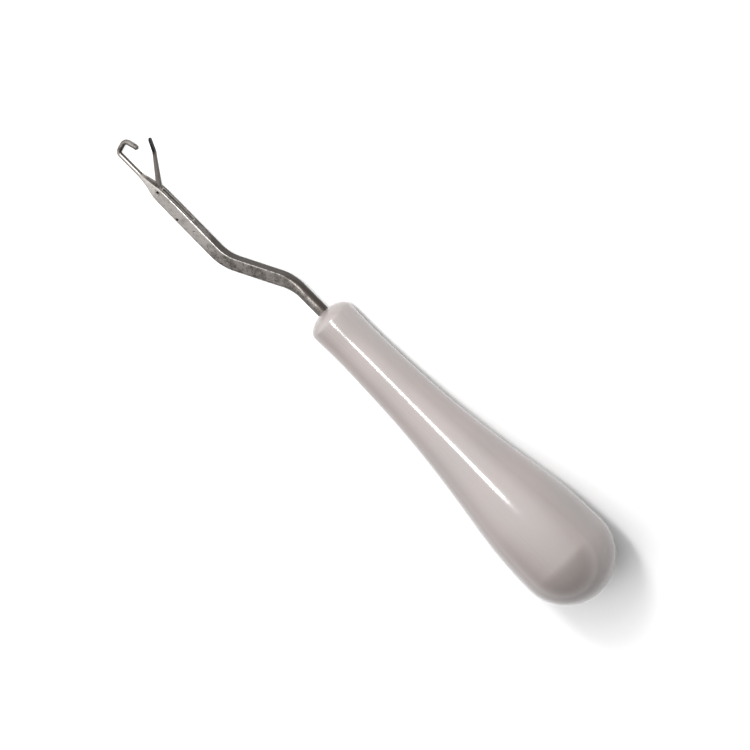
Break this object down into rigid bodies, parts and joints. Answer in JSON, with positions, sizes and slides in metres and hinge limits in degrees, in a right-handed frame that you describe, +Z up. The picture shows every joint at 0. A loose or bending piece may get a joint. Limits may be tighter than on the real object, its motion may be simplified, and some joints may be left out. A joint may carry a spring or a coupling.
{
  "type": "bent latch hook",
  "caption": "Bent latch hook for rug making and knitting repairs: pear-shaped plastic handle, cranked steel shank, hook closed by a small swinging latch.",
  "frame": {"origin": "bottom centre of the bounding box, on the surface that the tool lies on", "axes": "+X along the tool from the handle's bulb to the hook, +Z up as the tool lies at rest on its bulb, its shoulder and its hook, -Y the side that the latch opens to"},
  "size_m": [0.1646, 0.0254, 0.0259],
  "materials": {
    "handle_plastic": "moulded, glossy, pinkish warm grey",
    "steel": "drawn and pressed steel, tumbled, satin with bright edges",
    "latch_steel": "stamped steel, darker, spoon end nearly black"
  },
  "bodies": {
    "tool": {"handle": "handle_plastic", "shank": "steel", "latch_rivet": "steel"},
    "latch": {"latch": "latch_steel"}
  },
  "joints": [
    {"name": "latch_swing", "type": "hinge", "parent": "tool", "child": "latch", "pos_m": [0.06677, 0.00894, 0.0022], "axis": [-0.0778, -0.0358, -0.9963], "range_deg": [-15.5, 127.5]}
  ]
}
